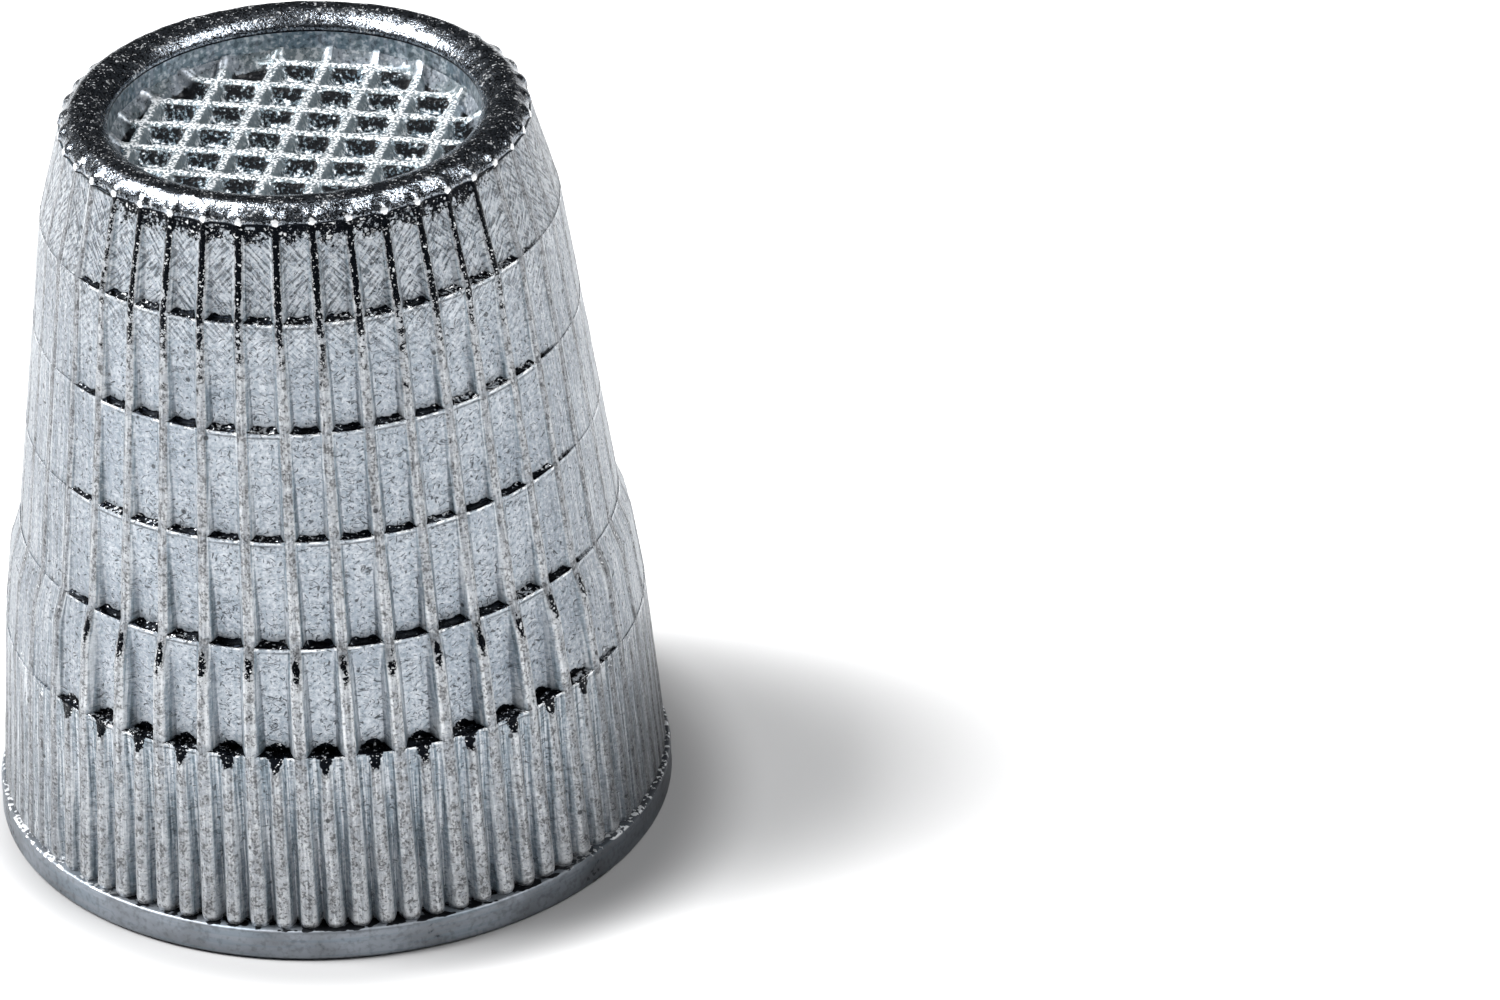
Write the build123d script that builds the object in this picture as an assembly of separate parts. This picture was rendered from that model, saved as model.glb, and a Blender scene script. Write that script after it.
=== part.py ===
from build123d import *
import os
from math import radians, tan

# A cast metal thimble, standing mouth down on its base band.
# Origin: centre of the mouth, on the surface it stands on. +Z runs up the axis to the crown.
# The front of the thimble faces -Y. Sizes are millimetres, angles are degrees, and radii are
# measured from the axis.

# ---- base band: the plain collar round the mouth
BAND_RADIUS = 10.0
BAND_HEIGHT = 1.0
BAND_EDGE_RADIUS = 0.15
BAND_WALL = 1.3

# ---- ribs that run up the outside
RIB_COUNT = 41
RIB_WIDTH = 0.36
RIB_FOOT_INSET = 0.12
RIB_FIRST_ANGLE = -96.4

# ---- skirt: the lowest zone, with a second rib in the middle of each gap
SKIRT_HEIGHT = 5.5
SKIRT_TAPER = 4.6
SKIRT_VALLEY_DEPTH = 0.56
SKIRT_VALLEY_DRAFT = 0.7

# ---- stepped wall above the skirt: courses of panels between the ribs, each with a ledge at its foot
LOWER_COURSES = 4
COURSE_HEIGHT = 3.26
CROWN_COURSE_HEIGHT = 2.7
LEDGE_DEPTHS = (0.54, 0.38, 0.26, 0.30, 0.30)
LIP_INSET = 0.03
WALL_TAPER = 7.6
CROWN_TAPER = 15.3

# ---- shoulder: where the ribs swell outwards, between the lowest two ledges
SHOULDER_RISE = 2.0
SHOULDER_HEIGHT = 1.5
SHOULDER_STEP = 0.42

# ---- rounded rim round the crown
RIM_HEIGHT = 0.6
RIM_WIDTH = 1.4
RIM_CREST_INSET = 0.6
RIM_INNER_EDGE_HEIGHT = 0.2

# ---- waffle plate: the closed end, sunk inside the rim, with a square grid of ridges
RECESS_DEPTH = 0.74
PLATE_THICKNESS = 0.9
POCKET_DEPTH = 0.45
GRID_PITCH = 1.43
GRID_RIDGE_WIDTH = 0.42
GRID_ANGLE = -15.5
GRID_SHIFT_ACROSS = -0.29
GRID_SHIFT_ALONG = 0.44

# ---- finger cavity: a plain cone, with this much metal behind the foot of the topmost ledge
CROWN_WALL = 1.0

# ---- how far a rib runs into the metal behind it
ROOT = 0.25

# ---- heights worked out from the sizes above
SKIRT_TOP = BAND_HEIGHT + SKIRT_HEIGHT
LEDGES = [SKIRT_TOP + i * COURSE_HEIGHT for i in range(LOWER_COURSES + 1)]
RIM_SEAT = LEDGES[-1] + CROWN_COURSE_HEIGHT
PLATE_TOP = RIM_SEAT - RECESS_DEPTH
PLATE_FLOOR = PLATE_TOP - POCKET_DEPTH
PLATE_UNDERSIDE = PLATE_TOP - PLATE_THICKNESS


def taper_points():
    """Corners (radius, height) of the outer surface of the ribs, from the band to the rim seat."""
    steps = [
        (SKIRT_HEIGHT, SKIRT_HEIGHT * tan(radians(SKIRT_TAPER))),
        (SHOULDER_RISE, SHOULDER_RISE * tan(radians(WALL_TAPER))),
        (SHOULDER_HEIGHT, SHOULDER_STEP),
    ]
    straight = LEDGES[-1] - SKIRT_TOP - SHOULDER_RISE - SHOULDER_HEIGHT
    steps.append((straight, straight * tan(radians(WALL_TAPER))))
    steps.append((CROWN_COURSE_HEIGHT, CROWN_COURSE_HEIGHT * tan(radians(CROWN_TAPER))))
    radius, height = BAND_RADIUS - RIB_FOOT_INSET, BAND_HEIGHT
    points = [(radius, height)]
    for rise, inset in steps:
        radius, height = radius - inset, height + rise
        points.append((radius, height))
    return points


RIB_LINE = taper_points()


def rib_radius(height):
    """Radius of the ribs' outer surface at a height."""
    for (r0, z0), (r1, z1) in zip(RIB_LINE, RIB_LINE[1:]):
        if height <= z1 + 1e-6:
            return r0 + (r1 - r0) * (height - z0) / (z1 - z0)
    return RIB_LINE[-1][0]


RIM_RADIUS = rib_radius(RIM_SEAT)
RECESS_RADIUS = RIM_RADIUS - RIM_WIDTH
MOUTH_RADIUS = BAND_RADIUS - BAND_WALL


def cavity_radius(height):
    """Radius of the finger cavity at a height."""
    crown_radius = rib_radius(LEDGES[-1]) - LEDGE_DEPTHS[-1] - CROWN_WALL
    return MOUTH_RADIUS + (crown_radius - MOUTH_RADIUS) * height / LEDGES[-1]


def valley_radius(height):
    """Radius of the bottom of the skirt's grooves at a height."""
    foot = BAND_RADIUS - RIB_FOOT_INSET - SKIRT_VALLEY_DEPTH
    return foot - (height - BAND_HEIGHT) * tan(radians(SKIRT_VALLEY_DRAFT))


def ring(corners):
    """Solid turned from a closed outline of (radius, height) corners."""
    outline = Polyline(*[(r, 0, z) for r, z in corners], close=True)
    return revolve(make_face(outline), Axis.Z)


def upright_plate(corners, width, angle):
    """Flat plate on a radial plane, cut to (radius, height) corners and centred on that plane."""
    outline = make_face(Polyline(*[(r, 0, z) for r, z in corners], close=True))
    plate = extrude(outline, amount=width / 2, dir=(0, 1, 0), both=True)
    return Rot(0, 0, angle) * plate


def rib_angles(count):
    """Directions of evenly spaced ribs, starting from the one nearest the front."""
    return [RIB_FIRST_ANGLE + 360 * i / count for i in range(count)]


def base_band():
    """Plain collar with softened edges and a flat foot."""
    corners = [
        (MOUTH_RADIUS, 0),
        (BAND_RADIUS, 0),
        (BAND_RADIUS, BAND_HEIGHT),
        (cavity_radius(BAND_HEIGHT), BAND_HEIGHT),
    ]
    band = ring(corners)
    outer_edges = band.edges().filter_by(GeomType.CIRCLE).sort_by(SortBy.RADIUS)[-2:]
    return fillet(outer_edges, BAND_EDGE_RADIUS)


def ribbed_skirt():
    """Tapered ring with twice as many ribs as the wall above."""
    foot, top = BAND_HEIGHT, SKIRT_TOP
    core = [
        (cavity_radius(foot), foot),
        (valley_radius(foot), foot),
        (valley_radius(top), top),
        (cavity_radius(top), top),
    ]
    rib = [
        (valley_radius(foot) - ROOT, foot),
        (rib_radius(foot), foot),
        (rib_radius(top), top),
        (valley_radius(top) - ROOT, top),
    ]
    ribs = [upright_plate(rib, RIB_WIDTH, angle) for angle in rib_angles(2 * RIB_COUNT)]
    return ring(core) + ribs


def panel_corners():
    """Saw-tooth outline of the panels, upwards from the lowest ledge to the rim seat."""
    tops = LEDGES[1:] + [RIM_SEAT]
    corners = []
    for foot, top, depth in zip(LEDGES, tops, LEDGE_DEPTHS):
        corners.append((rib_radius(foot) - depth, foot))
        corners.append((rib_radius(top) - LIP_INSET, top))
    return corners


def stepped_wall():
    """Tube with courses of sunk panels, and a rib over every join between panels."""
    panels = panel_corners()
    core = panels + [
        (RECESS_RADIUS, RIM_SEAT),
        (RECESS_RADIUS, PLATE_UNDERSIDE),
        (cavity_radius(PLATE_UNDERSIDE), PLATE_UNDERSIDE),
        (cavity_radius(SKIRT_TOP), SKIRT_TOP),
    ]
    outer = [corner for corner in RIB_LINE if corner[1] > SKIRT_TOP - 1e-6]
    rib = outer + [(r - ROOT, z) for r, z in reversed(panels)]
    ribs = [upright_plate(rib, RIB_WIDTH, angle) for angle in rib_angles(RIB_COUNT)]
    return ring(core) + ribs


def crown_rim():
    """Rounded ring that crowns the wall and frames the recess."""
    crest = (RIM_RADIUS - RIM_CREST_INSET, 0, RIM_SEAT + RIM_HEIGHT)
    outer_foot = (RIM_RADIUS, 0, RIM_SEAT)
    inner_edge = (RECESS_RADIUS, 0, RIM_SEAT + RIM_INNER_EDGE_HEIGHT)
    inner_foot = (RECESS_RADIUS, 0, RIM_SEAT)
    section = (
        TangentArc(crest, outer_foot, tangent=(1, 0, 0))
        + TangentArc(crest, inner_edge, tangent=(-1, 0, 0))
        + Line(inner_edge, inner_foot)
        + Line(inner_foot, outer_foot)
    )
    return revolve(make_face(section), Axis.Z)


def ridge_offsets(shift):
    """Places of the grid's ridges across the plate, on both sides of its centre."""
    reach = int(RECESS_RADIUS / GRID_PITCH) + 1
    places = [shift + i * GRID_PITCH for i in range(-reach, reach + 1)]
    return [p for p in places if abs(p) < RECESS_RADIUS - GRID_RIDGE_WIDTH]


def crown_plate():
    """Round plate with a square grid of ridges on its top."""
    disc = Pos(0, 0, PLATE_UNDERSIDE) * extrude(Circle(RECESS_RADIUS), PLATE_THICKNESS - POCKET_DEPTH)
    middle = (PLATE_TOP + PLATE_FLOOR) / 2 - ROOT / 2
    tall = POCKET_DEPTH + ROOT
    long = 2 * RECESS_RADIUS + GRID_PITCH
    across = [Pos(p, 0, middle) * Box(GRID_RIDGE_WIDTH, long, tall) for p in ridge_offsets(GRID_SHIFT_ACROSS)]
    along = [Pos(0, p, middle) * Box(long, GRID_RIDGE_WIDTH, tall) for p in ridge_offsets(GRID_SHIFT_ALONG)]
    grid = Rot(0, 0, GRID_ANGLE) * (Part() + across + along)
    trim = Pos(0, 0, PLATE_UNDERSIDE) * extrude(Circle(RECESS_RADIUS), PLATE_THICKNESS)
    return disc + (grid & trim)


def main():
    parts = {
        "base_band": base_band(),
        "ribbed_skirt": ribbed_skirt(),
        "stepped_wall": stepped_wall(),
        "crown_rim": crown_rim(),
        "crown_plate": crown_plate(),
    }
    os.makedirs("parts", exist_ok=True)
    for node, shape in parts.items():
        export_step(shape, f"parts/{node}.step")


main()
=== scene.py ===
from functools import cached_property
from math import atan2, ceil, cos, hypot, pi, radians, sin, tan

import bmesh
import bpy
from bpy.props import FloatProperty, FloatVectorProperty, IntProperty, PointerProperty
from mathutils import Matrix, Vector, noise


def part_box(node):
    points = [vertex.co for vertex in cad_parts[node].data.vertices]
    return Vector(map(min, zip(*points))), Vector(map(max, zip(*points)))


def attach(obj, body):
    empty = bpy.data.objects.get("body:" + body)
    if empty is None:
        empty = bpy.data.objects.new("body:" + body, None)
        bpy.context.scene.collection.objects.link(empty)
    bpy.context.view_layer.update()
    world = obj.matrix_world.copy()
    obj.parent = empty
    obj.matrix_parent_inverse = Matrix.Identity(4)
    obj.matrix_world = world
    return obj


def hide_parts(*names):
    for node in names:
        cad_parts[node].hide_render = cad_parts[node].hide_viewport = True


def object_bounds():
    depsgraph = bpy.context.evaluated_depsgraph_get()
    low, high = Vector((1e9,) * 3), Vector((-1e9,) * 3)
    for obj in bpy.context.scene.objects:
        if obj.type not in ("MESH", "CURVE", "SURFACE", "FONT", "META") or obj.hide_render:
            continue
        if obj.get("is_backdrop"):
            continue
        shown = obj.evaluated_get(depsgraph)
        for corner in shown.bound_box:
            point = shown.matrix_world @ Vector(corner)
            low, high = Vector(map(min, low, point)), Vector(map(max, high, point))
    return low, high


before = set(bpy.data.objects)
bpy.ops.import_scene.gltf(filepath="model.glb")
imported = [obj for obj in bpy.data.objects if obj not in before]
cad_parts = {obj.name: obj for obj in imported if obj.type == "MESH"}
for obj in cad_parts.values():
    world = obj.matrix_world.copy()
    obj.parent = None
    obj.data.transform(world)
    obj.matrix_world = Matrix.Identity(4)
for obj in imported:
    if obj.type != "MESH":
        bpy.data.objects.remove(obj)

bl_info = {
    "name": "Cast thimble",
    "version": (1, 0, 0),
    "blender": (4, 5, 0),
    "location": "3D View > Sidebar > Thimble",
    "description": "Builds a ribbed, stepped cast metal thimble with a waffle crown",
    "category": "Add Mesh",
}

MM = 0.001
CAD_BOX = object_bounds()

# highest corners of the CAD nodes, and the plate's lowest
BAND_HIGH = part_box("base_band")[1]
SKIRT_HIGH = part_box("ribbed_skirt")[1]
WALL_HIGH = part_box("stepped_wall")[1]
RIM_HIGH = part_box("crown_rim")[1]
PLATE_LOW, PLATE_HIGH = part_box("crown_plate")

ORIGIN = (0, 0, 0)
UP = (0, 0, 1)
# mesh columns from one main rib to the next
BAND_COLUMNS = 8
SKIRT_COLUMNS = 32
WALL_COLUMNS = 20
RIM_COLUMNS = 16
PLATE_SIDES = 96         # flat cuts that make the plate round
PLATE_CELLS = 16         # mesh cells from one waffle ridge to the next
WELD = 0.0002 * MM       # points nearer than this are one point
JUST_OFF = 0.01 * MM     # points farther than this from a ledge are off it
FLAT_MAP = "round_and_up"
FLAT_RADIUS = 8.5        # radius, in millimetres, at which that map is true to size
HORIZON = (-0.02, 0.06)  # heights between which the surroundings darken


def length(name, description, millimetres):
    """A size, given in millimetres and kept in metres."""
    return FloatProperty(
        name=name, description=description, default=millimetres * MM, unit="LENGTH", precision=6
    )


def angle(name, description, degrees):
    """An angle, given in degrees and kept in radians."""
    return FloatProperty(
        name=name, description=description, default=radians(degrees), unit="ROTATION"
    )


def colour(name, description, default):
    """A linear colour."""
    return FloatVectorProperty(
        name=name, description=description, default=default, size=3, subtype="COLOR", min=0, max=1
    )


class ThimbleSizes(bpy.types.PropertyGroup):
    """Sizes of the casting."""

    rib_count: IntProperty(name="Ribs", description="Main ribs round the wall", default=41, min=8)
    first_rib: angle("First rib", "Direction of the rib nearest the front", -96.4)
    rib_crest_low: length("Rib crest, low", "Width of a rib's crest at the band", 0.31)
    rib_crest_high: length("Rib crest, high", "Width of a rib's crest at the rim", 0.22)
    rib_edge: length("Rib edge", "Softness of a rib's two edges", 0.08)
    rib_flank: angle("Rib flank", "Slope of a rib's sides away from square", 16)
    rib_crown: length("Rib crown", "Height of a rib's rounded crest", 0.04)
    second_rib: FloatProperty(
        name="Second rib", description="Width of a second rib against a main one", default=0.86
    )
    rib_foot_inset: length("Foot inset", "Step from the band in to the ribs", 0.12)
    foot_round_off: length("Rib end", "Height over which a rib's lower end rounds off", 0.22)
    foot_fall: length("Rib end fall", "How far a rib's lower end falls back", 0.16)
    rib_stray: length("Rib stray", "How far a rib strays sideways", 0.02)

    skirt_taper: angle("Skirt taper", "Lean of the ribs on the skirt", 4.6)
    valley_depth: length("Valley depth", "Depth of the skirt's grooves at the band", 0.5)
    valley_draft: angle("Valley draft", "Lean of the skirt's grooves", 0.7)
    nose_length: length("Nose length", "Run over which a second rib rises", 0.7)

    course_height: length("Course height", "Height of one course of panels", 3.26)
    ledge_depths: FloatVectorProperty(
        name="Ledge depths", description="Depth of each ledge behind the ribs, from the lowest up",
        default=[depth * MM for depth in (0.54, 0.38, 0.28, 0.31, 0.31)],
        size=5, unit="LENGTH", precision=6,
    )
    lip_inset: length("Lip inset", "Depth of a panel just under a ledge", 0.05)
    lip_round: length("Lip rounding", "Rounding of a ledge's outer corner", 0.05)
    foot_round: length("Foot rounding", "Rounding of a ledge's inner corner", 0.07)
    wall_taper: angle("Wall taper", "Lean of the ribs on the wall", 7.6)
    crown_taper: angle("Top course taper", "Lean of the ribs under the rim", 15.3)
    ledge_drift: length("Ledge drift", "How unevenly the ledges are set", 0.03)
    ledge_flare: length("Ledge flare", "Rise of a ledge where it meets a rib", 0.05)

    shoulder_rise: length("Shoulder rise", "Height of the shoulder above the skirt", 2.0)
    shoulder_height: length("Shoulder height", "Height over which the ribs swell", 1.5)
    shoulder_step: length("Shoulder step", "How far the ribs swell at the shoulder", 0.42)

    rim_width: length("Rim width", "Width of the rim's ring", 1.4)
    rim_bump: length("Rim bumps", "How far the rib ends stand out of the rim", 0.09)
    rim_round: length("Rim rounding", "Rounding of the rim's section", 0.07)
    rim_grain: length("Rim grain", "Depth of the rim's pitted skin", 0.03)
    recess_fillet: length("Recess fillet", "Hollow curve at the foot of the recess", 0.35)

    band_wall: length("Band wall", "Thickness of the metal at the mouth", 1.3)
    band_hollow: length("Band hollow", "How far the band's face is dished", 0.012)
    mouth_round: length("Mouth rounding", "Rounding of the mouth", 0.25)
    band_lip_round: length("Band lip", "Rounding of the band's upper edge", 0.12)
    band_foot_round: length("Band foot", "Rounding of the band's lower edge", 0.2)
    crown_wall: length("Crown wall", "Metal behind the topmost ledge", 1.0)
    dome_round: length("Dome rounding", "Rounding of the cavity's far corner", 0.45)

    grid_pitch: length("Grid pitch", "Distance between the waffle's ridges", 1.43)
    grid_ridge: length("Grid ridge", "Width of a waffle ridge's crest", 0.2)
    grid_slope: length("Grid slope", "Width of a waffle ridge's side", 0.26)
    grid_turn: angle("Grid turn", "Turn of the waffle about the axis", -15.5)
    grid_across: length("Grid across", "Shift of the waffle across itself", -0.29)
    grid_along: length("Grid along", "Shift of the waffle along itself", 0.44)
    pocket_depth: length("Pocket depth", "Depth of the waffle's pockets", 0.45)
    ridge_climb: length("Ridge climb", "How far a ridge's end climbs the recess", 0.3)
    ridge_beads: length("Ridge beads", "Height of the beads on a ridge", 0.04)

    joint_fill: FloatProperty(
        name="Joint fill", description="How full the grooves are at the mould's joints", default=0.9
    )
    cast_wobble: length("Cast wobble", "Unevenness left by the casting", 0.02)


class ThimbleFinish(bpy.types.PropertyGroup):
    """Colours of the bare zinc, some of them also used for painted shade and painted glints."""

    zinc: colour("Zinc", "Pale satin zinc of the wall", (0.305, 0.338, 0.380))
    warm: colour("Warm zinc", "Handled zinc on the rib crests", (0.195, 0.200, 0.208))
    cool: colour("Cool zinc", "Zinc on the rib flanks", (0.135, 0.195, 0.24))
    # black for the pits and cracks, also used for painted shade and for the dark that shiny slopes
    # mirror
    patina: colour("Patina and shade", "Black in the corners and pits", (0.004, 0.005, 0.007))
    # bright zinc, also used for painted glints on edges and lips and for painted sparkle
    bright: colour("Burnished and glinting", "Bright zinc on the worn edges", (0.93, 0.95, 0.97))
    dull: colour("Dull zinc", "Duller zinc of the band", (0.16, 0.17, 0.185))
    recess: colour("Recess", "Smooth metal inside the rim", (0.19, 0.23, 0.25))


class ThimbleStage(bpy.types.PropertyGroup):
    """Camera, floor and lights."""

    distance: length("Distance", "Camera distance from the thimble", 231.8)
    elevation: angle("Elevation", "Camera height above the horizon", 30.98)
    roll: angle("Roll", "Camera roll", -3.78)
    aim_height: length("Aim height", "Height on the axis that the aim is counted from", 4.4)
    aim_aside: angle("Aim aside", "How far left of the middle of the view the thimble stands", 3.08)
    aim_down: angle("Aim down", "How far under the middle of the view its foot stands", 1.11)
    lens: FloatProperty(name="Lens", description="Focal length in millimetres", default=187.4)
    floor_size: length("Floor", "Width of the floor", 1600)
    floor_colour: colour("Floor colour", "Pale floor", (0.92, 0.92, 0.92))
    floor_shade: colour("Floor shade", "Shade close round the thimble's foot", (0.20, 0.20, 0.205))
    left_power: FloatProperty(name="Left", description="Left softbox in watts", default=13.0)
    right_power: FloatProperty(name="Right", description="Right softbox in watts", default=3.6)
    below: colour("Horizon below", "Surroundings below the horizon", (0.95, 0.95, 0.95))
    above: colour("Horizon above", "Dark surroundings above the horizon", (0.03, 0.032, 0.036))


# ---- shape of the casting


def smooth(low, high, value):
    """0 below low, 1 above high, and a soft S between them."""
    t = min(max((value - low) / (high - low), 0), 1)
    return t * t * (3 - 2 * t)


def follow(stops, t):
    """Height at t of the line through the stops."""
    for (x0, y0), (x1, y1) in zip(stops, stops[1:]):
        if t <= x1:
            return y0 + (y1 - y0) * (t - x0) / (x1 - x0)
    return stops[-1][1]


def grain(point, size, seed=0):
    """Soft noise from -1 to 1 whose lumps are about size across."""
    return noise.noise(point / size + Vector((seed, seed, seed)) * 17.3)


class Casting:
    """Heights of the thimble's zones, and the radii of its surfaces at a height."""

    def __init__(self, sizes):
        self.s = sizes
        self.pitch = 2 * pi / sizes.rib_count
        self.band_radius = BAND_HIGH.x
        self.band_top = BAND_HIGH.z
        self.skirt_top = SKIRT_HIGH.z
        self.rim_seat = WALL_HIGH.z
        self.rim_top = RIM_HIGH.z
        self.plate_top = PLATE_HIGH.z
        self.plate_underside = PLATE_LOW.z
        self.ledges = [self.skirt_top + i * sizes.course_height for i in range(5)]
        self.rib_foot = self.band_radius - sizes.rib_foot_inset
        self.rim_radius = self.rib(self.rim_seat)
        self.recess_radius = self.rim_radius - sizes.rim_width

    def rib(self, z):
        """Outer surface of the ribs."""
        s = self.s
        foot = self.skirt_top + s.shoulder_rise
        start, end = foot + s.shoulder_height, self.ledges[-1]
        radius = self.rib_foot - (min(z, self.skirt_top) - self.band_top) * tan(s.skirt_taper)
        radius -= max(min(z, foot) - self.skirt_top, 0) * tan(s.wall_taper)
        radius -= s.shoulder_step * smooth(foot, start, z)
        radius -= max(min(z, end) - start, 0) * tan(s.wall_taper)
        return radius - max(z - end, 0) * tan(s.crown_taper)

    def valley(self, z):
        """Bottom of the skirt's grooves."""
        return self.rib_foot - self.s.valley_depth - (z - self.band_top) * tan(self.s.valley_draft)

    def crest(self, z):
        """Half the width of a main rib's crest."""
        share = (z - self.band_top) / (self.rim_seat - self.band_top)
        low, high = self.s.rib_crest_low, self.s.rib_crest_high
        return (low + (high - low) * share) / 2

    def cavity(self, z):
        """Finger cavity."""
        mouth = self.band_radius - self.s.band_wall
        crown = self.rib(self.ledges[-1]) - self.s.ledge_depths[4] - self.s.crown_wall
        return mouth + (crown - mouth) * z / self.ledges[-1]

    def panels(self):
        """Lip and foot of each row of panels, as (radius, height), from the rim down."""
        tops = self.ledges[1:] + [self.rim_seat]
        rows = list(zip(self.ledges, tops, self.s.ledge_depths))[::-1]
        for foot, top, depth in rows:
            yield (self.rib(top) - self.s.lip_inset, top), (self.rib(foot) - depth, foot)

    def rib_place(self, co):
        """Number of the nearest main rib, and the way to its neighbours: -1 and 1 are midway."""
        turn = (atan2(co.y, co.x) - self.s.first_rib) / self.pitch
        rib = round(turn)
        return rib, (turn - rib) * 2

    def joint(self, co):
        """1 at the mould's two joints, left and right, and 0 at the front and the back."""
        return smooth(0.68, 0.94, abs(co.x) / hypot(co.x, co.y))


# ---- mesh helpers


def start_wire(points):
    """A mesh with a closed wire in the plane y = 0 through points (radius, height, is_outer)."""
    bm = bmesh.new()
    outer = bm.verts.layers.float.new("outer")
    verts = []
    for radius, height, is_outer in points:
        vert = bm.verts.new((radius, 0, height))
        vert[outer] = is_outer
        verts.append(vert)
    for first, second in zip(verts, verts[1:] + verts[:1]):
        bm.edges.new((first, second))
    return bm, outer, verts


def round_corners(bm, verts, radius, segments=2):
    """Rounds corners of a wire."""
    bmesh.ops.bevel(
        bm, geom=verts, offset=radius, offset_type="OFFSET", affect="VERTICES",
        segments=segments, profile=0.5, material=-1,
    )


def divide(bm, longest):
    """Cuts a wire's edges so that none is longer than longest(edge)."""
    by_cuts = {}
    for edge in bm.edges:
        cuts = ceil(edge.calc_length() / longest(edge)) - 1
        if cuts > 0:
            by_cuts.setdefault(cuts, []).append(edge)
    for cuts, edges in by_cuts.items():
        bmesh.ops.subdivide_edges(bm, edges=edges, cuts=cuts)


def turn_round(bm, casting, columns):
    """Spins the wire through one pitch, then repeats that strip right round the axis."""
    pitch = casting.pitch
    start = Matrix.Rotation(casting.s.first_rib, 3, "Z")
    bmesh.ops.rotate(bm, verts=bm.verts, cent=ORIGIN, matrix=start)
    bmesh.ops.spin(
        bm, geom=bm.verts[:] + bm.edges[:], cent=ORIGIN, axis=UP, angle=pitch, steps=columns
    )
    repeats = round(2 * pi / pitch) - 1
    strip = bm.verts[:] + bm.edges[:] + bm.faces[:]
    bmesh.ops.spin(
        bm, geom=strip, cent=ORIGIN, axis=UP, angle=2 * pi - pitch, steps=repeats,
        use_duplicate=True,
    )
    bmesh.ops.remove_doubles(bm, verts=bm.verts, dist=WELD)


def place_at(vert, turn, radius, height):
    """Moves a point to a direction, a radius and a height."""
    vert.co = (radius * cos(turn), radius * sin(turn), height)


class Marks:
    """Numbers that each point of a mesh carries for the finishes."""

    def __init__(self, bm, names):
        self.layers = {name: bm.verts.layers.float.new(name) for name in names.split()}

    def put(self, vert, **values):
        for name, value in values.items():
            vert[self.layers[name]] = value


def mark_wear(bm, sharpest):
    """Marks how sharply each point bends outward, which the finishes paint as glints on edges, and
    how far it faces up.
    """
    marks = Marks(bm, "worn up")
    bm.normal_update()
    for vert in bm.verts:
        bend = 0
        for edge in vert.link_edges:
            away = (vert.co - edge.other_vert(vert).co).normalized()
            bend += away.dot(vert.normal)
        bend /= len(vert.link_edges)
        marks.put(vert, worn=min(max(bend / sharpest, 0), 1), up=max(vert.normal.z, 0))


def mark_surface(bm):
    """Lays a flat map, in millimetres round and up the thimble, on the mesh."""
    uv = bm.loops.layers.uv.new(FLAT_MAP)
    for face in bm.faces:
        middle = face.calc_center_median()
        turn = atan2(middle.y, middle.x)
        for loop in face.loops:
            co = loop.vert.co
            side = (atan2(co.y, co.x) - turn + pi) % (2 * pi) - pi
            loop[uv].uv = ((turn + side) * FLAT_RADIUS, co.z / MM)


def finish_piece(bm, name, node, materials, hidden=None, sharpest=0.25, sharp=38):
    """Turns a mesh into a piece that stands for a CAD node.

    hidden(face) says which faces take the second material. An edge that bends by sharpest gets the
    full painted glint, and one of sharp degrees looks sharp.
    """
    bmesh.ops.recalc_face_normals(bm, faces=bm.faces)
    mark_wear(bm, sharpest)
    mark_surface(bm)
    for edge in bm.edges:
        edge.smooth = edge.calc_face_angle(0) < radians(sharp)
    for face in bm.faces:
        face.smooth = True
        face.material_index = int(hidden is not None and hidden(face))
    mesh = bpy.data.meshes.new(name)
    bm.to_mesh(mesh)
    bm.free()
    for material in materials:
        mesh.materials.append(material)
    piece = bpy.data.objects.new(name, mesh)
    bpy.context.scene.collection.objects.link(piece)
    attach(piece, "root")
    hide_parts(node)
    return piece


def wobble(casting, vert):
    """Moves a point in or out by the casting's unevenness."""
    out = Vector((vert.co.x, vert.co.y, 0)).normalized()
    lump = grain(vert.co, 1.1 * MM) * 0.6 + grain(vert.co, 0.45 * MM, 2) * 0.4
    vert.co += out * lump * casting.s.cast_wobble


# ---- the pieces


def build_band(casting, materials):
    """Smooth band round the mouth."""
    s = casting.s
    top, radius = casting.band_top, casting.band_radius
    bm, outer, verts = start_wire(
        [(casting.cavity(0), 0, 0), (casting.cavity(top), top, 0), (radius, top, 1), (radius, 0, 1)]
    )
    round_corners(bm, [verts[0]], s.mouth_round, 4)
    round_corners(bm, [verts[2]], s.band_lip_round, 4)
    round_corners(bm, [verts[3]], s.band_foot_round, 4)
    divide(bm, lambda edge: 0.25 * MM)
    turn_round(bm, casting, BAND_COLUMNS)
    for vert in bm.verts:
        if vert[outer] > 0.5 and 0.3 * MM < vert.co.z < 0.97 * MM:
            out = Vector((vert.co.x, vert.co.y, 0)).normalized()
            vert.co -= out * (1 + grain(vert.co, 2.5 * MM)) * s.band_hollow
    return finish_piece(bm, "cast_band", "base_band", materials)


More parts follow.
